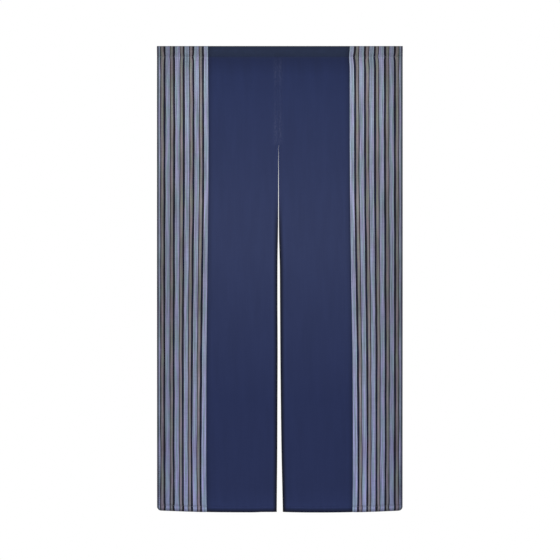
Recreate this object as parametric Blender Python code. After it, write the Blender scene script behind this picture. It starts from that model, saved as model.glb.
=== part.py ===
"""A noren: a doorway curtain of two navy cotton panels, with a striped border sewn down each outer side.

Metres, +Z up. The origin is the middle of the top edge, which goes over a rod. The front faces -Y.
The four cloths meet edge to edge. Each has its own turned edges, bottom hem and stretch of rod pocket.
The panels are joined from the top edge down to the slit, and hang apart below it.
"""

import math
from collections import namedtuple

import bmesh
import bpy

MM = 0.001

# Driving sizes
DROP = 1.500  # top edge to bottom hem
WIDTH = 0.792  # outer edge to outer edge
CLOTH = 0.0012  # one layer
SEAM_GAP = 0.0003  # between two cloths that meet edge to edge
SIDE_HEM = 0.010  # turned back along both long edges of each cloth
BOTTOM_HEM = 0.020
HEM_STEP = 0.0008  # height over which the back face goes from one layer to two
CORNER_RADIUS = 0.010  # the two outer bottom corners
CORNER_LIFT = 0.005  # how far the hem rises towards the outer corners
LIFT_FROM = 1.000  # drop below which the hem's rise begins to tell

# The pocket over the rod: a teardrop that closes at its stitch line
POCKET_DEEP = 0.035  # top edge to stitch line
POCKET_TAIL = 0.003  # the turned-over end reaches this far below the stitches
ROD_ROOM = 0.007  # inside radius of the pocket's round top
POCKET_ARC_STEPS = 8
POCKET_SIDE_STEPS = 2

# Mesh steps
ROW_STEP = 0.061
BORDER_STEPS = 8
PANEL_STEPS = 6
CORNER_COLUMN = 0.3 * CORNER_RADIUS  # the one column between a rounded corner's ends
SHARP_ANGLE = math.radians(35)

# Where the cloths' edges run, one row for each height, in millimetres: the drop below the top edge, then
# the distance from the middle (left is negative) of the left border's seam, of the left and the right
# panel's inner edge, and of the right border's seam. The panels' inner edges are one seam down to the slit.
Lines = namedtuple("Lines", "drop left_seam slit_left slit_right right_seam")
LINES = (
    Lines(0, -231.4, -4.2, -4.2, 225.6),
    Lines(35, -231.4, -4.2, -4.2, 223.6),
    Lines(75, -231.3, -4.2, -4.2, 225.4),
    Lines(316, -230.2, -4.2, -4.2, 225.6),
    Lines(332, -230.2, -4.4, -4.1, 225.6),
    Lines(372, -230.3, -4.6, -3.9, 225.8),
    Lines(459, -230.7, -4.9, -3.5, 226.3),
    Lines(562, -231.6, -5.3, -3.1, 227.5),
    Lines(614, -232.4, -6.0, -2.6, 228.4),
    Lines(665, -233.1, -6.9, -1.2, 229.2),
    Lines(717, -233.7, -7.4, 0.1, 230.1),
    Lines(820, -234.9, -7.5, 0.7, 231.7),
    Lines(980, -236.5, -6.9, 1.6, 234.3),
    Lines(1141, -237.5, -7.5, 3.1, 235.5),
    Lines(1302, -237.8, -8.1, 5.3, 235.9),
    Lines(1463, -236.8, -9.6, 8.9, 235.2),
    Lines(1500, -235.8, -9.8, 9.6, 234.6),
)

# How far the cloth stands forward of the rod, one row for each height, in millimetres: the drop, the six
# edges from left to right, and then how far each cloth bows forward between its own two edges.
Folds = namedtuple(
    "Folds",
    "drop left_edge left_seam slit_left slit_right right_seam right_edge "
    "left_border_bow left_panel_bow right_panel_bow right_border_bow",
)
FOLDS = (
    Folds(0, 0, 0, 0, 0, 0, 0, 0, 0, 0, 0),
    Folds(45, 0, 0, 0, 0, 0, 0, 0, 0, 0, 0),
    Folds(316, 0, -1, 0, 0, -1, 1, 3, 2, 1, 3),
    Folds(657, 2, -3, 2, -1, -3, 3, 12, 4, 3, 15),
    Folds(980, -3, -6, 4, -3, -5, -1, 19, 5, 5, 24),
    Folds(1302, -8, -7, 6, -4, -7, -7, 21, 6, 7, 26),
    Folds(1500, -9, -5, 7, -6, -6, -9, 18, 5, 6, 24),
)

# The four cloths: the lines and the edges that each lies between, its bow and where the bow's crest stands
# as a share of its width, which of its edges is an outer one, its steps across, and its colour (linear).
Cloth = namedtuple("Cloth", "name left right bow crest outer steps colour")
STRIPED = (0.139, 0.147, 0.191, 1.0)
NAVY = (0.028, 0.036, 0.098, 1.0)
CLOTHS = (
    Cloth(
        "striped_border_left", "left_edge", "left_seam", "left_border_bow",
        0.56, "left", BORDER_STEPS, STRIPED,
    ),
    Cloth("navy_panel_left", "left_seam", "slit_left", "left_panel_bow", 0.50, None, PANEL_STEPS, NAVY),
    Cloth("navy_panel_right", "slit_right", "right_seam", "right_panel_bow", 0.46, None, PANEL_STEPS, NAVY),
    Cloth(
        "striped_border_right", "right_seam", "right_edge", "right_border_bow",
        0.46, "right", BORDER_STEPS, STRIPED,
    ),
)


def clear_scene():
    for obj in list(bpy.data.objects):
        bpy.data.objects.remove(obj, do_unlink=True)


def slope(rows, column, k):
    """A table column's slope at row k, flat where the column turns or rests, so that no curve overshoots."""
    if k == 0 or k == len(rows) - 1:
        return 0.0
    before = (getattr(rows[k], column) - getattr(rows[k - 1], column)) / (rows[k].drop - rows[k - 1].drop)
    after = (getattr(rows[k + 1], column) - getattr(rows[k], column)) / (rows[k + 1].drop - rows[k].drop)
    if before * after <= 0:
        return 0.0
    return 2 * before * after / (before + after)


def read(rows, column, drop):
    """A table column, in metres, at any drop, on a smooth curve through its rows."""
    at = min(max(drop / MM, rows[0].drop), rows[-1].drop)
    k = max(i for i in range(len(rows) - 1) if rows[i].drop <= at)
    span = rows[k + 1].drop - rows[k].drop
    t = (at - rows[k].drop) / span
    start = getattr(rows[k], column)
    end = getattr(rows[k + 1], column)
    rise = (2 * t**3 - 3 * t**2 + 1) * start + (3 * t**2 - 2 * t**3) * end
    bend = (t**3 - 2 * t**2 + t) * slope(rows, column, k) + (t**3 - t**2) * slope(rows, column, k + 1)
    return (rise + bend * span) * MM


def edge_x(edge, drop):
    """The distance from the middle of an edge or seam at a drop."""
    if edge == "left_edge":
        return -WIDTH / 2
    if edge == "right_edge":
        return WIDTH / 2
    return read(LINES, edge, drop)


def cloth_span(cloth, drop):
    """A cloth's left and right edges at a drop, half a gap inside the seams that it shares."""
    left = edge_x(cloth.left, drop)
    right = edge_x(cloth.right, drop)
    if cloth.outer != "left":
        left += SEAM_GAP / 2
    if cloth.outer != "right":
        right -= SEAM_GAP / 2
    return left, right


def forward(cloth, share, drop):
    """How far the cloth stands forward at a share of its width."""
    between = (1 - share) * read(FOLDS, cloth.left, drop) + share * read(FOLDS, cloth.right, drop)
    arch = math.sin(math.pi * share ** (math.log(0.5) / math.log(cloth.crest)))
    return between + read(FOLDS, cloth.bow, drop) * arch


def columns(cloth, width):
    """Distances across the cloth: its turned edges, with a step at each, and even steps between them."""
    inner = SIDE_HEM + HEM_STEP
    step = (width - 2 * inner) / cloth.steps
    middle = [inner + step * i for i in range(cloth.steps + 1)]
    left = [0.0, SIDE_HEM]
    right = [width - SIDE_HEM, width]
    if cloth.outer == "left":
        left.insert(1, CORNER_COLUMN)
    if cloth.outer == "right":
        right.insert(1, width - CORNER_COLUMN)
    return left + middle + right


def hanging_rows():
    """Drops of the rows that hang below the pocket, from the bottom hem up to the pocket's tail."""
    hem_top = DROP - BOTTOM_HEM
    tail = POCKET_DEEP + POCKET_TAIL
    top = tail + HEM_STEP
    bottom = hem_top - HEM_STEP
    count = round((bottom - top) / ROW_STEP)
    between = [bottom + (top - bottom) * i / count for i in range(count + 1)]
    return [DROP, hem_top] + between + [tail]


def hem_lift(x, drop):
    """How far the cloth is drawn up at x, growing downwards and towards the outer edges."""
    share = min(max((drop - LIFT_FROM) / (DROP - LIFT_FROM), 0.0), 1.0)
    outward = abs(x) / (WIDTH / 2)
    return CORNER_LIFT * share**2 * outward**4


def corner_rise(cloth, distance, width):
    """How far a rounded outer corner lifts the bottom edge at a distance across the cloth."""
    if cloth.outer is None:
        return 0.0
    inwards = distance if cloth.outer == "left" else width - distance
    if inwards >= CORNER_RADIUS:
        return 0.0
    return CORNER_RADIUS - math.sqrt(CORNER_RADIUS**2 - (CORNER_RADIUS - inwards) ** 2)


def in_side_hem(distance, width):
    return distance <= SIDE_HEM or distance >= width - SIDE_HEM


def hanging_points(cloth, column, drop):
    """Front and back points of one column at one drop below the pocket."""
    left, right = cloth_span(cloth, drop)
    width = right - left
    distance = columns(cloth, width)[column]
    x = left + distance
    y = -forward(cloth, distance / width, drop)
    z = -drop + hem_lift(x, drop)
    if drop == DROP:
        z += corner_rise(cloth, distance, width)
    doubled = in_side_hem(distance, width) or drop >= DROP - BOTTOM_HEM or drop <= POCKET_DEEP + POCKET_TAIL
    back = CLOTH / 2 + (CLOTH if doubled else 0.0)
    return (x, y - CLOTH / 2, z), (x, y + back, z)


def pocket_path():
    """The inside of the pocket in the side view, from its stitches up the front, over and down the back.

    Each entry is a depth, a height and the outward direction there.
    """
    centre_y = CLOTH / 2
    centre_z = -CLOTH - ROD_ROOM
    reach = POCKET_DEEP + centre_z
    spread = math.acos(ROD_ROOM / reach)
    arc = []
    for i in range(POCKET_ARC_STEPS + 1):
        angle = spread + (2 * math.pi - 2 * spread) * i / POCKET_ARC_STEPS
        out = (-math.sin(angle), -math.cos(angle))
        arc.append((centre_y + ROD_ROOM * out[0], centre_z + ROD_ROOM * out[1], out))
    stitches = (centre_y, -POCKET_DEEP)
    front = [part_way(stitches, arc[0], i / POCKET_SIDE_STEPS) for i in range(1, POCKET_SIDE_STEPS)]
    stitches_behind = (*stitches, arc[-1][2])
    back = [part_way(arc[-1], stitches_behind, i / POCKET_SIDE_STEPS) for i in range(1, POCKET_SIDE_STEPS)]
    first = (*stitches, (-1.0, 0.0))
    last = (*stitches, (1.0, 0.0))
    return [first] + front + arc + back + [last]


def part_way(start, end, share):
    """A point of a straight side of the pocket, with that side's outward direction."""
    y = start[0] + (end[0] - start[0]) * share
    z = start[1] + (end[1] - start[1]) * share
    return (y, z, end[2])


def pocket_points(cloth, column, depth, height, out):
    """Outer and inner points of one column at one place round the pocket."""
    drop = -height
    left, right = cloth_span(cloth, drop)
    width = right - left
    distance = columns(cloth, width)[column]
    x = left + distance
    at_stitches = drop >= POCKET_DEEP
    turned = CLOTH if in_side_hem(distance, width) and not at_stitches else 0.0
    outer = (x, depth + CLOTH * out[0], height + CLOTH * out[1])
    inner = (x, depth - turned * out[0], height - turned * out[1])
    return outer, inner


def add_section(bm, cloth, column):
    """One column's vertices: the loop round the outside of the cloth and the loop inside the pocket."""
    hanging = [hanging_points(cloth, column, drop) for drop in hanging_rows()]
    pocket = [pocket_points(cloth, column, *place) for place in pocket_path()]
    outside = [front for front, _ in hanging] + [outer for outer, _ in pocket]
    outside += [back for _, back in reversed(hanging)]
    inside = [inner for _, inner in pocket[:-1]]
    return [bm.verts.new(point) for point in outside], [bm.verts.new(point) for point in inside]


def close_end(bm, outside, inside):
    """Fills the end of a cloth between the loop round it and the pocket's loop."""
    rows = len(hanging_rows())
    last = len(outside) - 1
    for i in range(rows - 1):
        bm.faces.new((outside[i], outside[i + 1], outside[last - i - 1], outside[last - i]))
    stitch_back = last - rows
    front = outside[rows - 1 : rows + 1]
    back = outside[stitch_back : stitch_back + 2]
    bm.faces.new((*front, inside[0], *back))
    loop = inside + [inside[0]]
    for i in range(len(inside)):
        bm.faces.new((outside[rows + i], outside[rows + i + 1], loop[i + 1], loop[i]))


def join_loops(bm, first, second):
    """Walls between two neighbouring columns' loops."""
    for i in range(len(first)):
        j = (i + 1) % len(first)
        bm.faces.new((first[i], first[j], second[j], second[i]))


def make_material(name, colour):
    material = bpy.data.materials.new(name)
    material.use_nodes = True
    shader = material.node_tree.nodes["Principled BSDF"]
    shader.inputs["Base Color"].default_value = colour
    shader.inputs["Roughness"].default_value = 0.9
    shader.inputs["Metallic"].default_value = 0.0
    return material


def make_cloth(cloth):
    """One cloth as one closed solid, with its turned edges, bottom hem and open pocket."""
    bm = bmesh.new()
    column_count = len(columns(cloth, 1.0))
    sections = [add_section(bm, cloth, column) for column in range(column_count)]
    for first, second in zip(sections, sections[1:]):
        join_loops(bm, first[0], second[0])
        join_loops(bm, first[1], second[1])
    close_end(bm, *sections[0])
    close_end(bm, *sections[-1])
    bmesh.ops.recalc_face_normals(bm, faces=bm.faces)
    mesh = bpy.data.meshes.new(cloth.name)
    bm.to_mesh(mesh)
    bm.free()
    mesh.shade_smooth()
    mesh.set_sharp_from_angle(angle=SHARP_ANGLE)
    mesh.materials.append(make_material(cloth.name, cloth.colour))
    obj = bpy.data.objects.new(cloth.name, mesh)
    bpy.context.scene.collection.objects.link(obj)


clear_scene()
for each in CLOTHS:
    make_cloth(each)
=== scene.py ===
"""The noren as it looks: four sewn lengths of cotton on the folds of its solids, with their stitches.

Metres, +Z up, in the solids' own frame. The front faces -Y. Every cloth is one folded sheet: its long edges
are turned back, its lower end is turned up into a hem, and its upper end goes over into the rod pocket.
"""

import math
from collections import namedtuple

import bpy
from bpy.props import FloatProperty, FloatVectorProperty, IntProperty, PointerProperty
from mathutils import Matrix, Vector, noise


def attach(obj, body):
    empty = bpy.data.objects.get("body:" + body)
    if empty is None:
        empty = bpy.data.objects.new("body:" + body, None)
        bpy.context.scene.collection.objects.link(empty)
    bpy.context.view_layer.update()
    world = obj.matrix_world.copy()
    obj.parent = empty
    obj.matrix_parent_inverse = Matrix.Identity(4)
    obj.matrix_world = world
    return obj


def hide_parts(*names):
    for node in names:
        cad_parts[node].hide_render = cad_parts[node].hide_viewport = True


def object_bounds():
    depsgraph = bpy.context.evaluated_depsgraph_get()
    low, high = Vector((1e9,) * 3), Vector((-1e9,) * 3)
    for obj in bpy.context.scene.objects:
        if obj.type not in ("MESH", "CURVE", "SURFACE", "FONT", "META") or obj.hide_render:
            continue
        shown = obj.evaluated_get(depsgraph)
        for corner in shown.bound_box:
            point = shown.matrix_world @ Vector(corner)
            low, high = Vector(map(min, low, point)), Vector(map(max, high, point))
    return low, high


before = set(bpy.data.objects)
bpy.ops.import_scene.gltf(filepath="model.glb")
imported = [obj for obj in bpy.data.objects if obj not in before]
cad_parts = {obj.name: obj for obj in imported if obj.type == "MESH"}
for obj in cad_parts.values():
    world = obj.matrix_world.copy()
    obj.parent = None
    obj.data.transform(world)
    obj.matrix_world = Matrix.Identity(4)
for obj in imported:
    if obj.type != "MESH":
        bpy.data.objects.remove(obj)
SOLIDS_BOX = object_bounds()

bl_info = {
    "name": "Noren curtain",
    "version": (1, 0, 0),
    "blender": (4, 5, 0),
    "location": "3D View > Sidebar > Noren",
    "description": "Sews a split doorway curtain of navy cotton with striped borders, and lights it",
    "category": "Object",
}

MM = 0.001
DROP = round(-SOLIDS_BOX[0].z, 4)
WIDTH = round(SOLIDS_BOX[1].x - SOLIDS_BOX[0].x, 4)

# The seams and slit edges from the middle, one row for each height, in millimetres, as in the solids.
Lines = namedtuple("Lines", "drop left_seam slit_left slit_right right_seam")
LINES = (
    Lines(0, -231.4, -4.2, -4.2, 225.6),
    Lines(35, -231.4, -4.2, -4.2, 223.6),
    Lines(75, -231.3, -4.2, -4.2, 225.4),
    Lines(306, -230.2, -4.2, -4.2, 225.6),
    Lines(332, -230.2, -4.4, -4.1, 225.6),
    Lines(372, -230.3, -4.6, -3.9, 225.8),
    Lines(459, -230.7, -4.9, -3.5, 226.3),
    Lines(562, -231.6, -5.3, -3.1, 227.5),
    Lines(614, -232.4, -6.0, -2.6, 228.4),
    Lines(665, -233.1, -6.9, -1.2, 229.2),
    Lines(717, -233.7, -7.4, 0.1, 230.1),
    Lines(820, -234.9, -7.5, 0.7, 231.7),
    Lines(980, -236.5, -6.9, 1.6, 234.3),
    Lines(1141, -237.5, -7.5, 3.1, 235.5),
    Lines(1302, -237.8, -8.1, 5.3, 235.9),
    Lines(1463, -236.8, -9.6, 8.9, 235.2),
    Lines(1500, -235.8, -9.8, 9.6, 234.6),
)

# How far the cloth stands forward of the rod, in millimetres, as in the solids: the six edges from left to
# right, and then each cloth's own bow between its two edges.
Folds = namedtuple(
    "Folds",
    "drop left_edge left_seam slit_left slit_right right_seam right_edge "
    "left_border_bow left_panel_bow right_panel_bow right_border_bow",
)
FOLDS = (
    Folds(0, 0, 0, 0, 0, 0, 0, 0, 0, 0, 0),
    Folds(45, 0, 0, 0, 0, 0, 0, 0, 0, 0, 0),
    Folds(316, 0, -1, 0, 0, -1, 1, 3, 2, 1, 3),
    Folds(657, 2, -3, 2, -1, -3, 3, 12, 4, 3, 15),
    Folds(980, -3, -6, 4, -3, -5, -1, 19, 5, 5, 24),
    Folds(1302, -8, -7, 6, -4, -7, -7, 21, 6, 7, 26),
    Folds(1500, -9, -5, 7, -6, -6, -9, 18, 5, 6, 24),
)

# The four cloths: the lines that each lies between, its bow and the bow's crest, which edge is an outer one,
# which one runs along the slit, its finished width lying flat, and the solid that it stands for.
Cloth = namedtuple("Cloth", "name left right bow crest outer slit flat node slot")
CLOTHS = (
    Cloth("border_cloth_left", "left_edge", "left_seam", "left_border_bow", 0.56, "left", None,
          0.166, "striped_border_left", "striped_cotton"),
    Cloth("panel_cloth_left", "left_seam", "slit_left", "left_panel_bow", 0.50, None, "right",
          0.229, "navy_panel_left", "navy_cotton"),
    Cloth("panel_cloth_right", "slit_right", "right_seam", "right_panel_bow", 0.46, None, "left",
          0.229, "navy_panel_right", "navy_cotton"),
    Cloth("border_cloth_right", "right_seam", "right_edge", "right_border_bow", 0.46, "right", None,
          0.171, "striped_border_right", "striped_cotton"),
)
BORDERS = (CLOTHS[0], CLOTHS[3])
PANELS = (CLOTHS[1], CLOTHS[2])

# Both borders are cut on the same stripes, and this is the width that the stripes are laid out on.
STRIPED_WIDTH = 0.1685

# How the lower end draws the stripes of a border aside, as shares of its width: beside its seam, in its
# middle and towards its edge.
Drift = namedtuple("Drift", "near middle far")
DRIFTS = {
    "border_cloth_left": Drift(0.34, -0.065, -0.01),
    "border_cloth_right": Drift(0.20, -0.045, -0.07),
}

# Soft creases that run down the cloths, in millimetres: the distance from the curtain's
# middle where each starts and ends, the drops there, how far it stands forward and how wide it is.
Crease = namedtuple("Crease", "x_top x_bottom top bottom height width")
CREASES = (
    Crease(-206, -214, 60, 560, 1.0, 16),
    Crease(-168, -160, 90, 430, -0.8, 20),
    Crease(-118, -126, 40, 330, 0.8, 17),
    Crease(-60, -66, 120, 640, -0.7, 22),
    Crease(-150, -171, 520, 1180, 1.4, 24),
    Crease(-84, -72, 600, 1250, -1.2, 26),
    Crease(-40, -46, 820, 1420, 1.0, 18),
    Crease(-204, -200, 900, 1440, 1.1, 15),
    Crease(38, 44, 60, 420, 0.8, 18),
    Crease(96, 88, 50, 380, -0.8, 20),
    Crease(150, 163, 70, 610, 1.0, 19),
    Crease(204, 200, 60, 500, -0.6, 14),
    Crease(60, 74, 480, 1130, 1.2, 24),
    Crease(126, 118, 640, 1270, -1.3, 27),
    Crease(180, 196, 700, 1400, 1.1, 20),
    Crease(40, 52, 980, 1450, -0.8, 18),
    Crease(-262, -264, 40, 500, 0.7, 11),
    Crease(-326, -318, 60, 700, -0.8, 14),
    Crease(-372, -366, 80, 900, 0.8, 12),
    Crease(-286, -292, 760, 1440, 0.9, 14),
    Crease(256, 262, 50, 560, 0.7, 12),
    Crease(318, 310, 60, 760, -0.8, 15),
    Crease(366, 360, 90, 980, 0.8, 12),
    Crease(292, 296, 800, 1430, 0.8, 13),
)

# Puckers beside the seam between the panels, in millimetres: the drop, the distance from the seam (left is
# negative), the height, and the size down the seam.
Pucker = namedtuple("Pucker", "drop across height size")
PUCKERS = (
    Pucker(52, -3.0, 0.8, 4),
    Pucker(64, 3.5, 1.5, 6),
    Pucker(81, -4.5, 1.1, 5),
    Pucker(99, 2.5, 1.4, 6),
    Pucker(119, -5.0, 0.7, 5),
    Pucker(142, 5.0, 1.2, 8),
    Pucker(178, -6.0, 0.7, 8),
    Pucker(206, 3.5, 1.3, 7),
    Pucker(231, -4.0, 0.9, 6),
    Pucker(254, -5.5, 1.5, 5),
    Pucker(272, 3.0, 1.1, 6),
    Pucker(289, -4.0, 1.3, 5),
    Pucker(305, 1.5, 0.8, 6),
)

# The lower edge's waves, in millimetres: the distance from the middle, and how far the edge is drawn up.
Wave = namedtuple("Wave", "drop rise")
LOWER_EDGE = (
    Wave(-396, -2.2),
    Wave(-330, -1.2),
    Wave(-290, -1.5),
    Wave(-236, -2.9),
    Wave(-160, -2.7),
    Wave(-90, -2.5),
    Wave(-50, -1.3),
    Wave(-12, -1.3),
    Wave(12, -2.3),
    Wave(90, -3.5),
    Wave(160, -3.7),
    Wave(236, -3.3),
    Wave(300, -1.6),
    Wave(340, -1.4),
    Wave(396, -2.4),
)

# The stripes of one repeat, in millimetres from the edge of the first dark stripe, and where that one starts.
Stripe = namedtuple("Stripe", "colour start")
REPEAT = 31.74
FIRST_DARK = 13.1
# How far a stripe's edges wander in all, in metres: slowly, and within a hand's width.
WANDER_BROAD = 0.0016
WANDER_NARROW = 0.0022
STRIPES = (
    Stripe("dark_stripe", 0.0),
    Stripe("beige_stripe", 7.2),
    Stripe("thin_stripe", 14.8),
    Stripe("pale_stripe", 18.0),
    Stripe("pale_line", 20.8),
    Stripe("pale_stripe", 23.4),
    Stripe("pale_line", 26.0),
    Stripe("pale_stripe", 28.6),
)


def length(name, description, default, least=0.0):
    """A size that a user may change, in metres."""
    return FloatProperty(
        name=name, description=description, default=default, min=least, unit="LENGTH", subtype="DISTANCE",
        precision=5,
    )


def colour(name, description, hex_value):
    """A colour that a user may change, given as sRGB hex."""
    return FloatVectorProperty(
        name=name, description=description, default=linear(hex_value), size=3, min=0.0, max=1.0,
        subtype="COLOR",
    )


def linear(hex_value):
    """An sRGB hex colour as linear light."""
    parts = [int(hex_value[i : i + 2], 16) / 255 for i in (1, 3, 5)]
    return tuple(p / 12.92 if p <= 0.04045 else ((p + 0.055) / 1.055) ** 2.4 for p in parts)


class NorenSizes(bpy.types.PropertyGroup):
    """Sizes of the cloth and its sewing."""

    cloth: length("Cloth", "Thickness of one layer of cotton", 0.00045, 0.0001)
    layer: length("Layer spacing", "From the middle of one folded layer to the next", 0.0006, 0.0002)
    side_hem: length("Turned edge", "Cloth turned back along each long edge", 0.010, 0.004)
    bottom_hem: length("Bottom hem", "Depth of the hem along the lower end", 0.020, 0.012)
    tuck: length("Tuck", "Raw end tucked in under a hem", 0.008, 0.002)
    pocket: length("Pocket", "From the top edge to the pocket's stitches", 0.035, 0.02)
    pocket_tail: length("Pocket tail", "Cloth below the pocket's stitches at the back", 0.003, 0.001)
    pocket_round: length("Pocket round", "Outside radius of the pocket over the rod", 0.0082, 0.003)
    setback: length("Setback", "How far the cloth falls back below the pocket", 0.0040)
    slit_roll: length("Slit roll", "How far the slit's hems roll back", 0.0055)
    outer_roll: length("Outer roll", "How far the outer hems roll back", 0.0022)
    lower_roll: length("Lower roll", "How far the lower fold rolls back", 0.0022)
    seam_groove: length("Seam groove", "Depth of the groove along the borders' seams", 0.0009)
    seam_ridge: length("Seam ridge", "Height of the ridges beside the middle seam", 0.0014)
    ripple: length("Ripple", "Height of the cloth's own fine unevenness", 0.00028)
    row_step: length("Row step", "Mesh step down the cloth", 0.0055, 0.002)
    column_step: length("Column step", "Mesh step across the cloth", 0.0050, 0.002)
    stitch: length("Stitch", "Length of one stitch", 0.0027, 0.001)
    stitch_spacing: length("Stitch spacing", "From one stitch to the next", 0.0038, 0.001)
    thread: length("Thread", "Thickness of the sewing thread", 0.00055, 0.0001)
    stitch_seed: IntProperty(name="Stitch seed", description="Seed of the stitches' unevenness", default=7)


class NorenColours(bpy.types.PropertyGroup):
    """Colours of the yarns, the thread and the floor."""

    # Down the panels these four navies make one ramp of painted light: navy carries a painted sheen some 0.6
    # m down, navy_lower is darker only for lacking that sheen, and navy_shade and navy_dull are painted shade
    # just below the pocket and on it.
    navy: colour("Navy", "Indigo-dyed cotton of the panels", "#333D65")
    navy_lower: colour("Deep navy", "Indigo where the dye is deepest, towards the lower end", "#28335E")
    navy_shade: colour("Shaded navy", "Indigo just below the pocket, which has seen little sun", "#1F2A50")
    navy_dull: colour("Dull navy", "Indigo of the doubled cloth round the pocket", "#27324D")
    # Painted highlight: the paler indigo on the ridges and puckers beside the middle seam, where they catch
    # the light.
    seam_highlight: colour("Rubbed indigo", "What rubbed threads are turning to beside the middle seam", "#7B82A2")
    pale_stripe: colour("Pale stripe", "Pale blue-grey yarn of the borders", "#9BA4BC")
    pale_line: colour("Pale line", "Slightly darker threads within a pale stripe", "#8D96AF")
    beige_stripe: colour("Beige stripe", "Beige-grey yarn of the borders", "#878384")
    thin_stripe: colour("Thin stripe", "Thin dark grey yarn of the borders", "#2C2A32")
    dark_stripe: colour("Dark stripe", "Near-black yarn of the borders", "#151827")
    navy_thread: colour("Navy thread", "Sewing thread of the panels and the seams", "#20263F")
    pale_thread: colour("Pale thread", "Sewing thread of the borders", "#9A9FB0")
    floor: colour("Floor", "Pale studio floor", "#E9E9E7")


def slope(rows, column, k):
    """A table column's slope at row k, flat where the column turns or rests, so that no curve overshoots."""
    if k == 0 or k == len(rows) - 1:
        return 0.0
    before = (getattr(rows[k], column) - getattr(rows[k - 1], column)) / (rows[k].drop - rows[k - 1].drop)
    after = (getattr(rows[k + 1], column) - getattr(rows[k], column)) / (rows[k + 1].drop - rows[k].drop)
    if before * after <= 0:
        return 0.0
    return 2 * before * after / (before + after)


def read(rows, column, drop):
    """A table column, in metres, at any drop, on a smooth curve through its rows."""
    at = min(max(drop / MM, rows[0].drop), rows[-1].drop)
    k = max(i for i in range(len(rows) - 1) if rows[i].drop <= at)
    span = rows[k + 1].drop - rows[k].drop
    t = (at - rows[k].drop) / span
    start = getattr(rows[k], column)
    end = getattr(rows[k + 1], column)
    rise = (2 * t**3 - 3 * t**2 + 1) * start + (3 * t**2 - 2 * t**3) * end
    bend = (t**3 - 2 * t**2 + t) * slope(rows, column, k) + (t**3 - t**2) * slope(rows, column, k + 1)
    return (rise + bend * span) * MM


def smooth(start, end, value):
    """0 before start, 1 after end, and a smooth rise between them."""
    t = min(max((value - start) / (end - start), 0.0), 1.0)
    return t * t * (3 - 2 * t)


def bump(value, size):
    """1 at 0, falling smoothly to nothing over about twice the size."""
    return math.exp(-((value / size) ** 2))


# Everything that one height of one cloth needs: its span and how far its edges and its bow stand forward.
Level = namedtuple("Level", "drop left right left_forward right_forward bow")
SEAM_PRESSED = 0.0001  # how far two cloths reach into each other at a seam
CORNER_RADIUS = 0.013  # the two outer lower corners
CORNER_LIFT = 0.005  # how far the hem rises towards them
LIFT_FROM = 1.000  # drop below which that rise begins to tell
SLIT_TOP = 0.322  # drop where the middle seam ends
SLIT_OPEN = 0.75  # drop where the slit's hems have rolled back fully
SIDE_STITCH = 0.0085  # from a turned edge to its stitches
HEM_STITCH = 0.0022  # from the hem's upper fold down to its stitches

# A small form beside an edge: how high it stands, how far from the edge, and how wide it is, in metres.
Form = namedtuple("Form", "height at width")
SEAM_LIP = Form(0.0004, 0.010, 0.004)
OUTER_STITCHES = Form(0.0003, SIDE_STITCH, 0.0012)
SLIT_STITCHES = Form(0.0005, SIDE_STITCH, 0.0014)
MIDDLE_GROOVE = Form(0.0002, 0.0, 0.0030)
RIDGE_AT = {"slit of left": 0.010, "slit of right": 0.0065}
RIDGE_WIDTH = 0.0034
GROOVE_WIDTH = 0.0022
OUTER_ROLL_WIDTH = 0.0035
SLIT_ROLL_WIDTH = 0.0052
LOWER_ROLL_WIDTH = 0.0028
# The same down the cloth: the gathers below the pocket's stitches, and above the lower edge the hem's
# fullness, the line of its stitches (from the hem's top) and the ripples that they pull.
GATHERS = Form(0.0005, 0.0, 0.014)
HEM_FULLNESS = Form(0.0008, 0.008, 0.007)
HEM_LINE = Form(0.0006, -0.002, 0.0016)
HEM_RIPPLES = Form(0.0003, 0.012, 0.012)
# How far down the cloth's fall behind the pocket begins, and how far it lasts.
SETBACK_START = 0.030
SETBACK_REACH = 0.4
# How far the pocket's and the hem's stitches draw the stripes aside, and how far above the lower edge the
# hem's do.
STRIPES_PULLED = Form(0.0013, 0.014, 0.009)
# How far inside a fold's outer face its cloth's width is read: at the lower edge, and at the upper folds.
LOWER_FOLD_IN = 0.0009
UPPER_FOLD_IN = 0.0003
WEAVE_SPACING = 0.0012


def edge_x(edge, drop):
    """The distance from the middle of an edge or seam at a drop."""
    if edge == "left_edge":
        return -WIDTH / 2
    if edge == "right_edge":
        return WIDTH / 2
    return read(LINES, edge, drop)


def level_at(cloth, drop):
    """A cloth's span at one height, reaching into its seams, and how far forward it stands there."""
    left = edge_x(cloth.left, drop)
    right = edge_x(cloth.right, drop)
    if cloth.outer != "left":
        left -= SEAM_PRESSED / 2
    if cloth.outer != "right":
        right += SEAM_PRESSED / 2
    left_forward, right_forward, bow = (
        read(FOLDS, column, drop) for column in (cloth.left, cloth.right, cloth.bow)
    )
    return Level(drop, left, right, left_forward, right_forward, bow)


def stand(form, distance):
    """How high a small form stands at a distance."""
    return form.height * bump(distance - form.at, form.width)


def edge_relief(sizes, kind, distance, drop):
    """How the cloth stands forward near one of its long edges, at a distance from that edge."""
    if kind == "seam":
        return stand(SEAM_LIP, distance) - sizes.seam_groove * bump(distance, GROOVE_WIDTH)
    if kind == "outer":
        return -sizes.outer_roll * math.exp(-distance / OUTER_ROLL_WIDTH) - stand(OUTER_STITCHES, distance)
    sewn = 1 - smooth(SLIT_TOP - 0.012, SLIT_TOP + 0.010, drop)
    ridge = sizes.seam_ridge * bump(distance - RIDGE_AT[kind], RIDGE_WIDTH) - stand(MIDDLE_GROOVE, distance)
    roll = -sizes.slit_roll * smooth(SLIT_TOP, SLIT_OPEN, drop) * math.exp(-distance / SLIT_ROLL_WIDTH)
    return ridge * sewn + roll - (1 - sewn) * stand(SLIT_STITCHES, distance)


def edge_kinds(cloth):
    """What the left and the right edge of a cloth are."""
    left = "outer" if cloth.outer == "left" else "slit of right" if cloth.slit == "left" else "seam"
    right = "outer" if cloth.outer == "right" else "slit of left" if cloth.slit == "right" else "seam"
    return left, right


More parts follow.
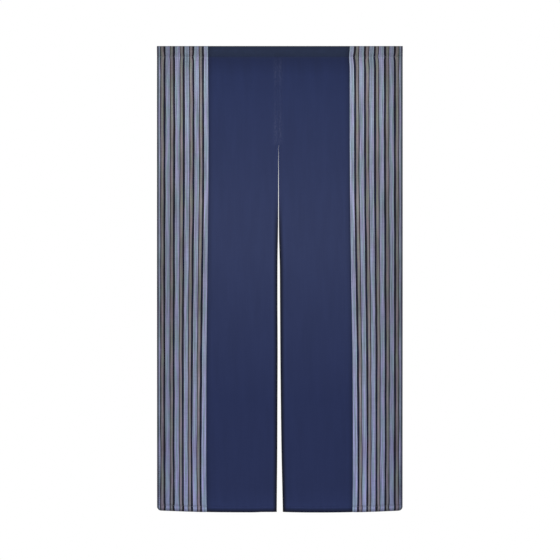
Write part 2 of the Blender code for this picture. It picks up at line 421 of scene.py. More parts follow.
def creases(x, drop):
    """The hand-placed creases at a place on the curtain."""
    total = 0.0
    for crease in CREASES:
        if not crease.top * MM < drop < crease.bottom * MM:
            continue
        along = (drop / MM - crease.top) / (crease.bottom - crease.top)
        across = x / MM - (crease.x_top + (crease.x_bottom - crease.x_top) * along)
        if abs(across) < 3 * crease.width:
            total += crease.height * math.sin(math.pi * along) ** 0.8 * bump(across, crease.width)
    return total * MM


def puckers(x, drop):
    """The puckers along the middle seam."""
    total = 0.0
    for pucker in PUCKERS:
        down = drop / MM - pucker.drop
        across = (x - LINES[0].slit_left * MM) / MM - pucker.across
        if abs(down) < 4 * pucker.size and abs(across) < 14:
            total += pucker.height * bump(down, pucker.size) * bump(across, 2.6)
    return total * MM


def relief(sizes, cloth, level, x, distance):
    """What the cloth's finer forms add to its main folds, forward of them."""
    drop = level.drop
    width = level.right - level.left
    left_kind, right_kind = edge_kinds(cloth)
    total = edge_relief(sizes, left_kind, distance, drop)
    total += edge_relief(sizes, right_kind, width - distance, drop)
    total += creases(x, drop) + puckers(x, drop)
    below = drop - sizes.pocket
    total += sizes.setback * (math.exp(-below / SETBACK_REACH) - math.exp(-below / SETBACK_START))
    place = Vector((x * 26, drop * 9, 1.7))
    total += sizes.ripple * (noise.noise(place) + 0.5 * noise.noise(place * 2.3))
    # The stitches of the pocket gather the cloth a little below them.
    gather = math.sin(x * 410) * math.sin(x * 173 + 1.0) + 0.6 * math.sin(x * 690 + 2.0)
    total += GATHERS.height * gather * math.exp(-below / GATHERS.width)
    up = DROP - drop
    total += stand(HEM_FULLNESS, up) - stand(HEM_LINE, up - sizes.bottom_hem)
    total += math.sin(x * 330 + 0.8) * stand(HEM_RIPPLES, up)
    total -= sizes.lower_roll * math.exp(-up / LOWER_ROLL_WIDTH)
    return total * smooth(sizes.pocket - 0.001, sizes.pocket + 0.006, drop)


def stripe_drift(cloth, share, drop):
    """How far the lower end draws a border's cloth aside, as a share of its width."""
    if cloth.outer is None:
        return 0.0
    from_seam = 1 - share if cloth.outer == "left" else share
    drift = DRIFTS[cloth.name]
    to_edge = 1 - from_seam
    pulls = drift.near * to_edge**5 + drift.middle * to_edge + drift.far * from_seam**2
    outwards = -1 if cloth.outer == "left" else 1
    return from_seam * to_edge * pulls * smooth(0.45, DROP, drop) * outwards


def wobble(sizes, x, drop):
    """How the pocket's and the hem's stitches draw the stripes a little to one side or the other."""
    pulled, hem_up, reach = STRIPES_PULLED
    at_pocket = bump(drop - sizes.pocket, reach) * (math.sin(x * 96 + 0.4) + 0.6 * math.sin(x * 231))
    at_hem = bump(drop - DROP + hem_up, reach) * (math.sin(x * 118 + 1.1) + 0.6 * math.sin(x * 263))
    return pulled * (at_pocket + at_hem)


def rise(cloth, distance, width, x, drop):
    """How far the cloth is drawn up at a place: towards the outer corners, and by the lower edge's waves."""
    share = min(max((drop - LIFT_FROM) / (DROP - LIFT_FROM), 0.0), 1.0)
    up = CORNER_LIFT * share**2 * abs(2 * x / WIDTH) ** 4
    up += read_wave(x) * share**2
    if cloth.outer:
        inwards = distance if cloth.outer == "left" else width - distance
        if inwards < CORNER_RADIUS:
            corner = CORNER_RADIUS - math.sqrt(CORNER_RADIUS**2 - (CORNER_RADIUS - inwards) ** 2)
            up += corner * smooth(DROP - 0.014, DROP, drop)
    return up


def read_wave(x):
    """The lower edge's wave at a distance from the middle, on a smooth curve through its table."""
    return read(LOWER_EDGE, "rise", x)


def front_point(sizes, cloth, level, distance):
    """The middle of the front layer at one distance across one height of a cloth."""
    width = level.right - level.left
    share = min(max(distance / width, 0.0), 1.0)
    x = level.left + distance
    inner = min(distance, width - distance)
    free = smooth(0.0, 0.02, inner)
    shown_x = x + (stripe_drift(cloth, share, level.drop) * width + wobble(sizes, x, level.drop)) * free
    arch = math.sin(math.pi * share ** (math.log(0.5) / math.log(cloth.crest))) if share > 0 else 0.0
    forward = (1 - share) * level.left_forward + share * level.right_forward + level.bow * arch
    forward += relief(sizes, cloth, level, x, distance)
    return shown_x, -forward, -level.drop + rise(cloth, distance, width, x, level.drop)


# One column of a cloth's mesh: its distance across is share times the width plus the offset. turned is 0 on
# the face of the cloth and 1 on an edge that is turned back behind it, and between them round the fold.
Column = namedtuple("Column", "share offset turned side")


def cloth_columns(sizes, width):
    """The columns of a cloth, from the raw end of its left turned edge round to that of its right one."""
    radius = sizes.layer / 2
    inset = sizes.cloth / 2 + radius
    turned = [sizes.side_hem, sizes.side_hem - 0.0004, 0.0085, 0.007, 0.005, 0.003, 0.0015]
    fold = [math.pi * i / 6 for i in range(7)]
    near = [0.0008, 0.0018, 0.003, 0.0045, 0.006, 0.0073, 0.0085, 0.0097, 0.0107, 0.0117, 0.0127, 0.014]
    reach = near[-1]
    count = round((width - 2 * reach) / sizes.column_step)
    half = [Column(0, offset, 1.0, -1) for offset in turned]
    half += [Column(0, inset - radius * math.sin(a), (1 - math.cos(a)) / 2, -1) for a in reversed(fold)]
    half += [Column(0, inset + offset, 0.0, 0) for offset in near]
    middle = [Column(i / count, (1 - 2 * i / count) * (inset + reach), 0.0, 0) for i in range(1, count)]
    other = [Column(1, -c.offset, c.turned, -c.side) for c in reversed(half)]
    return half + middle + other


# One row of a cloth's mesh: the part of the cloth that it is on, and how far along that part.
Row = namedtuple("Row", "part at")


def steps(start, end, step):
    """Even values from start to end, no further apart than the step."""
    count = max(1, math.ceil(abs(end - start) / step))
    return [start + (end - start) * i / count for i in range(count + 1)]


def cloth_rows(sizes):
    """The rows of a cloth, from the raw end tucked into its bottom hem to the one tucked into its pocket."""
    hem_top = DROP - sizes.bottom_hem
    turn = [math.pi * i / 6 for i in range(7)]
    rows = [Row("hem tuck", d) for d in steps(hem_top + sizes.tuck, hem_top + 0.002, 0.003)]
    rows += [Row("hem top", a) for a in reversed(turn)]
    rows += [Row("hem back", d) for d in steps(hem_top + 0.002, DROP - 0.0018, 0.003)]
    rows += [Row("hem fold", a) for a in reversed(turn)]
    rows += [Row("front", DROP - up) for up in (0.0018, 0.0030, 0.0045, 0.0065, 0.009, 0.012, 0.015, 0.0165)]
    rows += [Row("front", hem_top + down) for down in (0.002, 0.0005, -0.0015)]
    rows += [Row("front", d) for d in steps(hem_top - 0.004, 0.075, sizes.row_step)]
    rows += [Row("front", d) for d in steps(0.072, sizes.pocket + 0.006, 0.0032)]
    rows += [Row("front", sizes.pocket + extra) for extra in (0.0045, 0.003, 0.0015, 0.0)]
    rows += [Row("pocket front", t) for t in (0.05, 0.12, 0.2, 0.3, 0.4, 0.5, 0.6, 0.7, 0.8, 0.9)]
    rows += [Row("pocket round", t) for t in steps(0.0, 1.0, 0.045)]
    rows += [Row("pocket back", t) for t in (0.1, 0.2, 0.3, 0.4, 0.5, 0.6, 0.7, 0.8, 0.88, 0.95, 1.0)]
    rows += [Row("tail", sizes.pocket + 0.0012)]
    rows += [Row("tail fold", a) for a in turn]
    rows += [Row("tail tuck", sizes.pocket + 0.0008)]
    tuck_end = sizes.pocket + sizes.pocket_tail - sizes.tuck
    rows += [Row("tail tuck", d) for d in steps(sizes.pocket, tuck_end, 0.002)]
    return rows


def layers_at(sizes, distance, width):
    """2 where an edge is turned back behind the cloth, 1 elsewhere, with a soft step between."""
    inner = min(distance, width - distance)
    return 2 - smooth(sizes.side_hem + 0.0001, sizes.side_hem + 0.0022, inner)


def pocket_place(sizes, part, t, back_depth):
    """Depth, height and outward direction of the pocket's outer layer, t of the way along a part."""
    radius = sizes.pocket_round - sizes.cloth / 2
    centre = (sizes.layer, -sizes.pocket_round)
    spread = math.acos(radius / (sizes.pocket - sizes.pocket_round))
    start_angle = spread if part != "pocket back" else 2 * math.pi - spread
    angle = start_angle if part != "pocket round" else spread + (2 * math.pi - 2 * spread) * t
    out = (-math.sin(angle), -math.cos(angle))
    place = (centre[0] + radius * out[0], centre[1] + radius * out[1])
    if part == "pocket front":
        start = (0.0, -sizes.pocket)
        out = (out[0] * t - (1 - t), out[1] * t)
        return start[0] + (place[0] - start[0]) * t, start[1] + (place[1] - start[1]) * t, out
    if part == "pocket back":
        end = (back_depth, -sizes.pocket)
        out = (out[0] * (1 - t) + t, out[1] * (1 - t))
        return place[0] + (end[0] - place[0]) * t, place[1] + (end[1] - place[1]) * t, out
    return place[0], place[1], out


def puff(x, t):
    """How far the pocket's walls stand out between its stitches and its round top."""
    uneven = 0.6 + 0.25 * math.sin(x * 57 + 0.7) + 0.3 * math.sin(x * 131 + 2.1) + 0.25 * math.sin(x * 305)
    return 0.0011 * uneven * math.sin(math.pi * t)


class ClothShape:
    """Places any row and column of one cloth, and keeps each height's level once it is worked out."""

    def __init__(self, sizes, cloth):
        self.sizes = sizes
        self.cloth = cloth
        self.levels = {}

    def level(self, drop):
        key = round(drop, 6)
        if key not in self.levels:
            self.levels[key] = level_at(self.cloth, drop)
        return self.levels[key]

    def width(self, drop):
        level = self.level(drop)
        return level.right - level.left

    def point(self, row, column):
        """The middle of the cloth's thickness at one row and column."""
        sizes = self.sizes
        layer = sizes.layer
        half = sizes.cloth / 2
        part, at = row
        turned = column.turned
        if part.startswith("pocket"):
            return self.pocket_point(part, at, column)
        if part == "hem fold":
            drop = DROP - half - LOWER_FOLD_IN
        elif part == "hem top":
            drop = DROP - sizes.bottom_hem + half + UPPER_FOLD_IN
        elif part == "tail fold":
            drop = sizes.pocket + sizes.pocket_tail - half - UPPER_FOLD_IN
        else:
            drop = at
        width = self.width(drop)
        distance = column.share * width + column.offset
        layers = layers_at(sizes, distance, width)
        if part == "hem fold":
            drop = DROP - half - (layers - 0.5) * layer
        elif part == "hem top":
            drop = DROP - sizes.bottom_hem + half + (layers - 0.5) * layer
        elif part == "tail fold":
            drop = sizes.pocket + sizes.pocket_tail - half - (layers - 0.5) * layer
        x, y, z = front_point(sizes, self.cloth, self.level(max(drop, sizes.pocket)), distance)
        z -= drop - max(drop, sizes.pocket)
        if part == "front":
            return x, y + turned * layer, z
        if part == "hem fold":
            radius = (layers - 0.5 - turned) * layer
            return x, y + (layers - 0.5) * layer - radius * math.cos(at), z - radius * math.sin(at)
        if part == "hem back":
            thick = smooth(0.002, 0.011, DROP - drop)
            return x, y + (2 * layers - 1 + layers * thick - turned) * layer, z
        if part in ("hem top", "tail fold"):
            radius = (layers - 0.5 - turned) * layer
            lifted = radius * math.sin(at) * (1 if part == "hem top" else -1)
            return x, y + (2 * layers - 0.5) * layer + radius * math.cos(at), z + lifted
        if part == "tail":
            return x, y + (3 * layers - 1 - turned) * layer, z
        depth = (layers + turned) * layer
        if part == "tail tuck" and drop < sizes.pocket:
            depth += self.back_wall(drop, layers) - (3 * layers - 1) * layer
        return x, y + depth, z

    def back_wall(self, drop, layers):
        """The depth of the pocket's back layer a little above the stitches."""
        sizes = self.sizes
        at_stitches = (3 * layers - 1) * sizes.layer
        top = pocket_place(sizes, "pocket back", 0.0, at_stitches)
        share = (sizes.pocket - drop) / (sizes.pocket + top[1])
        return at_stitches + (top[0] - at_stitches) * share

    def pocket_point(self, part, t, column):
        sizes = self.sizes
        guess = self.width(sizes.pocket / 2)
        layers = layers_at(sizes, column.share * guess + column.offset, guess)
        depth, height, out = pocket_place(sizes, part, t, (3 * layers - 1) * sizes.layer)
        level = self.level(-height)
        width = level.right - level.left
        distance = column.share * width + column.offset
        x = level.left + distance
        stand = puff(x, t) if part != "pocket round" else 0.0
        stand -= column.turned * sizes.layer
        x += wobble(sizes, x, -height) * smooth(0.0, 0.02, min(distance, width - distance))
        return x, depth + stand * out[0], height + stand * out[1]


def flat_lengths(shape, rows):
    """How far along the flat cloth each row is, 0 at the curtain's top edge and falling down the front."""
    middle = Column(0.5, 0.0, 0.0, 0)
    points = [shape.point(row, middle) for row in rows]
    along = [0.0]
    for before, after in zip(points, points[1:]):
        along.append(along[-1] + math.dist(before[1:], after[1:]))
    stitched = rows.index(Row("front", shape.sizes.pocket))
    return [value - along[stitched] - shape.sizes.pocket for value in along]


def flat_across(cloth, column, width):
    """How far across the flat cloth a column is: from its left edge, or from its seam on a border."""
    face = 1 - 2 * column.turned
    if column.side < 0:
        across = column.offset * face
    elif column.side > 0:
        across = width + column.offset * face
    else:
        across = column.share * width + column.offset
    if cloth.outer is None:
        return across
    from_seam = width - across if cloth.outer == "left" else across
    return from_seam * STRIPED_WIDTH / width


def place_object(name, data):
    """An object in the scene, at the origin."""
    obj = bpy.data.objects.new(name, data)
    bpy.context.scene.collection.objects.link(obj)
    return obj


def plain_mesh(obj):
    """Turns what an object's modifiers make into its own plain mesh, and removes them."""
    graph = bpy.context.evaluated_depsgraph_get()
    mesh = bpy.data.meshes.new_from_object(obj.evaluated_get(graph), depsgraph=graph)
    mesh.name = obj.name
    obj.modifiers.clear()
    obj.data = mesh
    return mesh


def sew_cloth(sizes, cloth, material):
    """One cloth as a folded sheet of its real thickness, with its flat place in its UV map."""
    shape = ClothShape(sizes, cloth)
    rows = cloth_rows(sizes)
    columns = cloth_columns(sizes, cloth.flat)
    across = [flat_across(cloth, column, cloth.flat) for column in columns]
    along = flat_lengths(shape, rows)
    points = [shape.point(row, column) for row in rows for column in columns]
    count = len(columns)
    faces = []
    for i in range(len(rows) - 1):
        for j in range(count - 1):
            corner = i * count + j
            faces.append((corner, corner + 1, corner + count + 1, corner + count))
    mesh = bpy.data.meshes.new(cloth.name)
    mesh.from_pydata(points, [], faces)
    layer = mesh.uv_layers.new(name="cloth")
    corners = [loop.vertex_index for loop in mesh.loops]
    layer.data.foreach_set("uv", [value for v in corners for value in (across[v % count], along[v // count])])
    mesh.materials.append(material)
    mesh.shade_smooth()
    obj = place_object(cloth.name, mesh)
    thicken = obj.modifiers.new("thickness", "SOLIDIFY")
    thicken.thickness = sizes.cloth
    thicken.offset = 0.0
    thicken.use_rim = True
    plain_mesh(obj).set_sharp_from_angle(angle=math.radians(55))
    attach(obj, "root")
    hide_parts(cloth.node)
    return obj, along[-1] - along[0]


def add(tree, kind, settings=None, inputs=None):
    """Adds a node, sets its settings, and sets or links its inputs."""
    node = tree.nodes.new(kind)
    for name, value in (settings or {}).items():
        setattr(node, name, value)
    for name, value in (inputs or {}).items():
        if isinstance(value, bpy.types.NodeSocket):
            tree.links.new(value, node.inputs[name])
        else:
            node.inputs[name].default_value = value
    return node


def stitch_tree(colours, thread):
    """Stitches along every line of a mesh, each a small rounded length of thread, a little uneven."""
    name = f"stitches of {thread}"
    if name in bpy.data.node_groups:
        return bpy.data.node_groups[name]
    material = sewing_thread(thread.replace("_", " cotton "), getattr(colours, thread))
    tree = bpy.data.node_groups.new(name, "GeometryNodeTree")
    tree.interface.new_socket("Lines", in_out="INPUT", socket_type="NodeSocketGeometry")
    for size in ("Spacing", "Length", "Thread", "Lean"):
        tree.interface.new_socket(size, in_out="INPUT", socket_type="NodeSocketFloat")
    tree.interface.new_socket("Seed", in_out="INPUT", socket_type="NodeSocketInt")
    tree.interface.new_socket("Stitches", in_out="OUTPUT", socket_type="NodeSocketGeometry")
    given = add(tree, "NodeGroupInput").outputs
    lines = add(tree, "GeometryNodeMeshToCurve", None, {"Mesh": given["Lines"]})
    places = add(
        tree, "GeometryNodeCurveToPoints", {"mode": "LENGTH"},
        {"Curve": lines.outputs["Curve"], "Length": given["Spacing"]},
    )
    along = add(
        tree, "FunctionNodeAlignRotationToVector", {"axis": "Z"}, {"Vector": places.outputs["Tangent"]}
    )
    facing = add(
        tree, "FunctionNodeAlignRotationToVector", {"axis": "Y", "pivot_axis": "Z"},
        {"Rotation": along.outputs["Rotation"], "Vector": (0.0, -1.0, 0.0)},
    )
    crooked = add(
        tree, "FunctionNodeRandomValue", {"data_type": "FLOAT"}, {2: -0.07, 3: 0.07, "Seed": given["Seed"]}
    )
    lean = add(
        tree, "ShaderNodeMath", {"operation": "ADD"}, {0: given["Lean"], 1: crooked.outputs[1]}
    )
    turn = add(tree, "ShaderNodeCombineXYZ", None, {"Y": lean.outputs[0]})
    turned = add(
        tree, "FunctionNodeRotateRotation", {"rotation_space": "LOCAL"},
        {"Rotation": facing.outputs["Rotation"], "Rotate By": turn.outputs[0]},
    )
    bead = add(tree, "GeometryNodeMeshUVSphere", None, {"Segments": 6, "Rings": 5, "Radius": 0.5})
    size = add(
        tree, "ShaderNodeCombineXYZ", None, {"X": given["Thread"], "Y": given["Thread"], "Z": given["Length"]}
    )
    uneven = add(
        tree, "FunctionNodeRandomValue", {"data_type": "FLOAT"}, {2: 0.88, 3: 1.08, "Seed": given["Seed"]}
    )
    scale = add(
        tree, "ShaderNodeVectorMath", {"operation": "SCALE"}, {0: size.outputs[0], "Scale": uneven.outputs[1]}
    )
    placed = add(
        tree, "GeometryNodeInstanceOnPoints", None,
        {
            "Points": places.outputs["Points"],
            "Instance": bead.outputs["Mesh"],
            "Rotation": turned.outputs["Rotation"],
            "Scale": scale.outputs[0],
        },
    )
    real = add(tree, "GeometryNodeRealizeInstances", None, {"Geometry": placed.outputs["Instances"]})
    finish = add(
        tree, "GeometryNodeSetMaterial", None, {"Geometry": real.outputs["Geometry"], "Material": material}
    )
    add(tree, "NodeGroupOutput", None, {"Stitches": finish.outputs["Geometry"]})
    return tree


def sew_stitches(name, lines, tree, values):
    """One piece with stitches along all its lines. values holds the tree's sizes by socket name."""
    points = [point for line in lines for point in line]
    edges = []
    start = 0
    for line in lines:
        edges += [(start + i, start + i + 1) for i in range(len(line) - 1)]
        start += len(line)
    mesh = bpy.data.meshes.new(name)
    mesh.from_pydata(points, edges, [])
    obj = place_object(name, mesh)
    nodes = obj.modifiers.new("stitches", "NODES")
    nodes.node_group = tree
    for socket in tree.interface.items_tree:
        if socket.name in values:
            nodes[socket.identifier] = values[socket.name]
    mesh = plain_mesh(obj)
    if not mesh.polygons:
        raise RuntimeError(f"{name} came out without stitches")
    mesh.shade_smooth()
    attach(obj, "root")
    return obj


def stitch_sizes(sizes, **changes):
    """The stitches' sizes by the names of their tree's sockets, with what is different about some."""
    return {
        "Spacing": sizes.stitch_spacing,
        "Length": sizes.stitch,
        "Thread": sizes.thread,
        "Seed": sizes.stitch_seed,
        **changes,
    }


def running_lines(sizes, cloth):
    """Where one cloth is stitched: its pocket, its bottom hem, and its turned edge where that hangs free."""
    shape = ClothShape(sizes, cloth)
    half = sizes.cloth / 2
    proud = half + 0.12 * sizes.thread
    hem = DROP - sizes.bottom_hem + HEM_STITCH
    lines = []
    for drop in (sizes.pocket, hem):
        level = shape.level(drop)
        width = level.right - level.left
        front = []
        back = []
        for distance in steps(0.0012, width - 0.0012, 0.004):
            x, y, z = front_point(sizes, cloth, level, distance)
            layers = layers_at(sizes, distance, width)
            front.append((x, y - proud, z))
            back.append((x, y + (3 * layers - 1) * sizes.layer + proud, z))
        lines += [front, back]
    side = cloth.outer or cloth.slit
    top = sizes.pocket + 0.004 if cloth.outer else SLIT_TOP
    front = []
    back = []
    for drop in steps(top, DROP - 0.0035, 0.006):
        level = shape.level(drop)
        distance = SIDE_STITCH if side == "left" else level.right - level.left - SIDE_STITCH
        x, y, z = front_point(sizes, cloth, level, distance)
        front.append((x, y - proud, z))
        if drop < DROP - sizes.bottom_hem - 0.001:
            back.append((x, y + sizes.layer + proud, z))
    return lines + [front, back]


def seam_line(sizes, left_cloth, right_cloth, top, bottom):
    """The line of stitches over the two turned edges of a seam, at the back."""
    left = ClothShape(sizes, left_cloth)
    right = ClothShape(sizes, right_cloth)
    line = []
    for drop in steps(top, bottom, 0.006):
        a = left.level(drop)
        b = right.level(drop)
        x0, y0, z0 = front_point(sizes, left_cloth, a, a.right - a.left - 0.0004)
        x1, y1, z1 = front_point(sizes, right_cloth, b, 0.0004)
        line.append(((x0 + x1) / 2, (y0 + y1) / 2 + sizes.layer + 0.3 * sizes.cloth, (z0 + z1) / 2))
    return line


def weave_group():
    """Plain weave: threads that run down and across, and pass over and under each other.

    Real noren cotton has about 16 threads a centimetre. They are drawn half as fine here, so that the weave
    shows in a close view.
    """
    group = bpy.data.node_groups.new("plain weave", "ShaderNodeTree")
    group.interface.new_socket("Place", in_out="INPUT", socket_type="NodeSocketVector")
    group.interface.new_socket("Spacing", in_out="INPUT", socket_type="NodeSocketFloat")
    group.interface.new_socket("Height", in_out="OUTPUT", socket_type="NodeSocketFloat")
    given = add(group, "NodeGroupInput").outputs
    parts = add(group, "ShaderNodeSeparateXYZ", None, {0: given["Place"]}).outputs
    rounds = []
    cells = []
    for axis in ("X", "Y"):
        value = add(
            group, "ShaderNodeMath", {"operation": "DIVIDE"}, {0: parts[axis], 1: given["Spacing"]}
        ).outputs[0]
        angle = add(group, "ShaderNodeMath", {"operation": "MULTIPLY"}, {0: value, 1: math.pi}).outputs[0]
        wave = add(group, "ShaderNodeMath", {"operation": "SINE"}, {0: angle}).outputs[0]
        rounds.append(add(group, "ShaderNodeMath", {"operation": "ABSOLUTE"}, {0: wave}).outputs[0])
        cells.append(add(group, "ShaderNodeMath", {"operation": "FLOOR"}, {0: value}).outputs[0])
    total = add(group, "ShaderNodeMath", {"operation": "ADD"}, {0: cells[0], 1: cells[1]}).outputs[0]
    even = add(group, "ShaderNodeMath", {"operation": "FLOORED_MODULO"}, {0: total, 1: 2.0}).outputs[0]
    top = add(group, "ShaderNodeMix", {"data_type": "FLOAT"}, {0: even, 2: rounds[0], 3: rounds[1]})
    add(group, "NodeGroupOutput", None, {"Height": top.outputs[0]})
    return group


def slub_group():
    """Slubs: threads that are thicker for a hand's width, so that they catch the light as short streaks."""
    group = bpy.data.node_groups.new("slubs", "ShaderNodeTree")
    group.interface.new_socket("Place", in_out="INPUT", socket_type="NodeSocketVector")
    for name in ("Down", "Across", "Broad", "Edge", "Shade", "Hue", "Rub"):
        group.interface.new_socket(name, in_out="OUTPUT", socket_type="NodeSocketFloat")
    given = add(group, "NodeGroupInput").outputs
    streaks = {}
    # One streak in millimetres, across and down the cloth.
    for name, width, height, detail in (
        ("Down", 2.8, 150, 3.0), ("Across", 45, 2.8, 2.0), ("Broad", 26, 210, 2.0), ("Edge", 9, 120, 1.0),
        ("Shade", 9, 90, 1.5), ("Hue", 6, 60, 1.5), ("Rub", 5, 8, 1.0),
    ):
        place = add(
            group, "ShaderNodeMapping", None,
            {"Vector": given["Place"], "Scale": (1 / (width * MM), 1 / (height * MM), 1.0)},
        ).outputs[0]
        streaks[name] = add(
            group, "ShaderNodeTexNoise", {"noise_dimensions": "2D"},
            {"Vector": place, "Scale": 1.0, "Detail": detail, "Roughness": 0.6},
        ).outputs["Fac"]
    add(group, "NodeGroupOutput", None, streaks)
    return group


def shared_group(name, make):
    """A node group that both cottons use, made once."""
    return bpy.data.node_groups.get(name) or make()


def start_material(name, values):
    """A material whose shader has some constant values, by the names of its sockets."""
    material = bpy.data.materials.new(name)
    material.use_nodes = True
    shader = material.node_tree.nodes["Principled BSDF"]
    for socket, value in values.items():
        shader.inputs[socket].default_value = value
    return material, material.node_tree, shader


def start_cotton(name):
    """A cotton's material, with what both cottons share: matt fibres, a weave and its slubs."""
    material, tree, shader = start_material(
        name,
        {"Roughness": 0.88, "Specular IOR Level": 0.25, "Sheen Weight": 0.06, "Sheen Roughness": 0.5},
    )
    place = add(tree, "ShaderNodeUVMap", {"uv_map": "cloth"}).outputs[0]
    weave = add(
        tree, "ShaderNodeGroup", {"node_tree": shared_group("plain weave", weave_group)},
        {"Place": place, "Spacing": WEAVE_SPACING},
    ).outputs["Height"]
    slubs = add(
        tree, "ShaderNodeGroup", {"node_tree": shared_group("slubs", slub_group)}, {"Place": place}
    ).outputs
    raised = plus(tree, weave, [(slubs["Down"], 1.2), (slubs["Across"], 0.8)])
    bumped = add(
        tree, "ShaderNodeBump", None, {"Strength": 0.5, "Distance": 0.0003, "Height": raised}
    ).outputs[0]
    tree.links.new(bumped, shader.inputs["Normal"])
    parts = add(tree, "ShaderNodeSeparateXYZ", None, {0: place}).outputs
    return material, tree, shader, slubs, parts


def plus(tree, start, parts):
    """A value with shares of several others added to it, one after another."""
    total = start
    for value, share in parts:
        node = add(tree, "ShaderNodeMath", {"operation": "MULTIPLY_ADD"}, {0: value, 1: share, 2: total})
        total = node.outputs[0]
    return total


def tones(tree, values):
    """The product of several brightness values, as one value."""
    product = values[0]
    for value in values[1:]:
        product = add(tree, "ShaderNodeMath", {"operation": "MULTIPLY"}, {0: product, 1: value}).outputs[0]
    return product


def set_marks(ramp, places):
    """Gives a colour ramp its marks, as places from 0 to 1 and colours."""
    marks = ramp.color_ramp.elements
    while len(marks) < len(places):
        marks.new(0.5)
    for mark, (at, shade) in zip(marks, places):
        mark.position = at
        mark.color = (*shade, 1.0)


def colour_along(tree, value, stops):
    """A colour that changes along a value in metres, by a short list of places and colours."""
    low = stops[0][0]
    span = stops[-1][0] - low
    share = add(
        tree, "ShaderNodeMapRange", None, {"Value": value, "From Min": low, "From Max": low + span}
    ).outputs[0]
    ramp = add(tree, "ShaderNodeValToRGB", None, {"Fac": share})
    set_marks(ramp, [((at - low) / span, shade) for at, shade in stops])
    return ramp.outputs[0]


def tone_along(tree, value, stops):
    """A brightness of up to 2 that changes along a value in metres."""
    half = colour_along(tree, value, [(at, (tone / 2,) * 3) for at, tone in stops])
    return add(tree, "ShaderNodeMath", {"operation": "MULTIPLY"}, {0: half, 1: 2.0}).outputs[0]


def uneven_tone(tree, streak, least, most):
    """A brightness from a streak pattern, from least to most."""
    return add(
        tree, "ShaderNodeMapRange", None,
        {"Value": streak, "From Min": 0.3, "From Max": 0.7, "To Min": least, "To Max": most},
    ).outputs[0]


def between(tree, streak, first, second):
    """A colour from a streak pattern, from the first colour to the second."""
    share = add(tree, "ShaderNodeMapRange", None, {"Value": streak, "From Min": 0.35, "From Max": 0.65})
    mixed = add(tree, "ShaderNodeMix", {"data_type": "RGBA"}, {0: share.outputs[0], 6: first, 7: second})
    return mixed.outputs[2]


def paint(tree, shader, base, tone):
    """Multiplies a colour by a brightness and gives it to the shader."""
    scaled = add(tree, "ShaderNodeVectorMath", {"operation": "SCALE"}, {0: base, "Scale": tone}).outputs[0]
    tree.links.new(scaled, shader.inputs["Base Color"])


# How bright each cotton is down its length, as places in metres from the top edge and brightnesses. All of it
# is
# painted light and shade: painted shade on the pocket, just below its stitches and along the lower fold, a
# painted highlight on the hem with painted shade along its stitches, a painted sheen on the navy from about
# 0.1 to 0.3 m down, and on the stripes painted light a little stronger low down.
NAVY_PAINTED_LIGHT = (
    (-1.53, 0.6), (-1.501, 0.32), (-1.4975, 0.42), (-1.495, 0.56), (-1.4925, 0.82), (-1.4895, 1.16),
    (-1.486, 1.21), (-1.478, 1.15), (-1.462, 1.08), (-1.42, 1.0), (-0.56, 1.0),
    (-0.319, 1.08), (-0.166, 1.19), (-0.097, 1.18), (-0.061, 1.01), (-0.048, 0.94),
    (-0.036, 0.9), (-0.034, 0.98),
    (-0.0115, 1.0), (-0.0065, 0.76), (-0.002, 0.6), (0.0056, 0.42), (0.011, 0.55), (0.016, 1.0),
    (0.03, 1.0),
)
STRIPES_PAINTED_LIGHT = (
    (-1.53, 0.8), (-1.501, 0.5), (-1.4955, 0.65), (-1.492, 0.95), (-1.488, 1.22), (-1.4835, 1.22),
    (-1.4815, 0.86), (-1.4785, 0.86), (-1.476, 1.09), (-1.4, 1.06), (-1.2, 1.075), (-1.05, 1.05),
    (-0.9, 0.98), (-0.74, 0.94), (-0.25, 1.03), (-0.13, 1.02),
    (-0.085, 0.97), (-0.04, 0.85), (-0.034, 0.88), (-0.014, 0.85), (-0.008, 0.77), (-0.002, 0.68),
    (0.0056, 0.42), (0.011, 0.5), (0.016, 0.78), (0.03, 0.78),
)
# How far the borders' yarns keep more of their blue, down their length.
STRIPES_BLUER = (
    (-1.53, 1.0), (-1.48, 1.0), (-1.4, 0.75), (-1.25, 0.6), (-0.9, 0.15), (-0.5, 0.0),
)
# The panels' navy down their length, as painted light: painted shade on the pocket and just below it, painted
# sheen on navy, and navy_lower where that sheen has gone.
NAVY_SHEEN_AND_SHADE = (
    (-1.53, "navy_lower"), (-1.14, "navy_lower"), (-0.66, "navy"), (-0.56, "navy"),
    (-0.05, "navy_shade"), (-0.038, "navy_shade"), (-0.034, "navy_dull"), (0.03, "navy_dull"),
)
# How bright a panel is across its width, from its border's seam, with painted shade in the groove along that
# seam, and a border from its panel's seam: brighter beside the seam, dimmer towards its edge, and painted
# shade where its outer hem rolls back.
NAVY_SEAM_SHADE = (
    (-0.012, 0.9), (0.0, 0.6), (0.002, 0.62), (0.0045, 0.74), (0.008, 0.84), (0.012, 0.92),
    (0.018, 1.0), (0.241, 1.0),
)
STRIPES_ACROSS_WITH_EDGE_SHADE = (
    (-0.012, 1.0), (0.0, 1.4), (0.0025, 1.26), (0.0055, 1.04), (0.009, 1.06), (0.012, 1.16),
    (0.03, 1.0), (0.062, 0.98), (0.094, 0.93), (0.125, 0.8), (0.1585, 0.8), (0.16, 0.86),
    (0.1616, 0.86), (0.1626, 0.3), (0.166, 0.24), (0.1675, 0.16), (0.1685, 0.14), (0.18, 0.8),
)
# Painted shade of the dimples along a border's outer hem: from one to the next, and how dark it is across and
# down it.
DIMPLE_STEP = 0.0068
DIMPLE_SHADE_ACROSS = (
    (0.13, 0.0), (0.159, 0.0), (0.1605, 0.62), (0.165, 0.62), (0.167, 0.0), (0.18, 0.0),
)
DIMPLE_SHADE_DOWN = (
    (-1.53, 0.3), (-1.47, 0.6), (-1.44, 1.0), (-1.35, 1.0), (-1.3, 0.4), (-1.1, 0.0),
)
